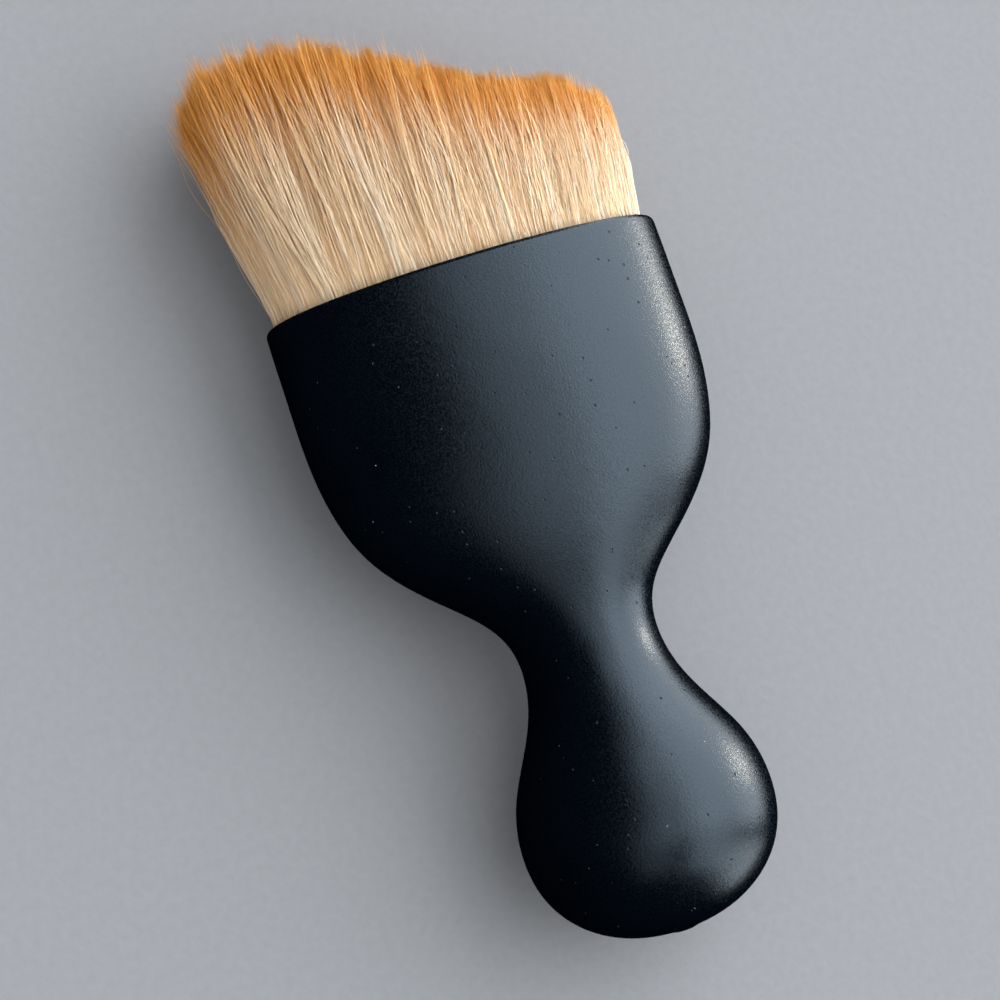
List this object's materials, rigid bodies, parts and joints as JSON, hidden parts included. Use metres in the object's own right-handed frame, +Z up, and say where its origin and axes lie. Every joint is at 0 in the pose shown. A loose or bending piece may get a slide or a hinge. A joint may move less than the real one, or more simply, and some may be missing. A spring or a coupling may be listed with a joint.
{
  "type": "neck duster brush",
  "caption": "Short palm-sized duster brush: matte black hourglass handle, oval across, with a dense wave-trimmed tuft of cream bristles that have orange tips.",
  "frame": {"origin": "on the surface the brush lies on, under the centre of its bounding box", "axes": "the brush lies on its back: +Y along it from the bulb to the bristle tips, +X across its broad face, +Z up out of the broad face"},
  "size_m": [0.0504, 0.1118, 0.0232],
  "materials": {
    "soft_touch_black": "soft-touch painted ABS, satin-matte with a fine orange peel",
    "clear_adhesive": "cured translucent adhesive, hidden",
    "cup_plastic": "unpainted moulded plastic, hidden",
    "cast_epoxy": "cast amber epoxy, hidden",
    "cotton_thread": "twisted cotton thread, hidden",
    "dyed_bristle": "fine silky synthetic filament, cream with orange-dyed tips"
  },
  "bodies": {
    "root": {"handle": "soft_touch_black", "seat_adhesive": "clear_adhesive", "tuft_cup": "cup_plastic", "root_epoxy": "cast_epoxy", "root_binding": "cotton_thread", "bristle_tuft": "dyed_bristle"}
  },
  "joints": []
}
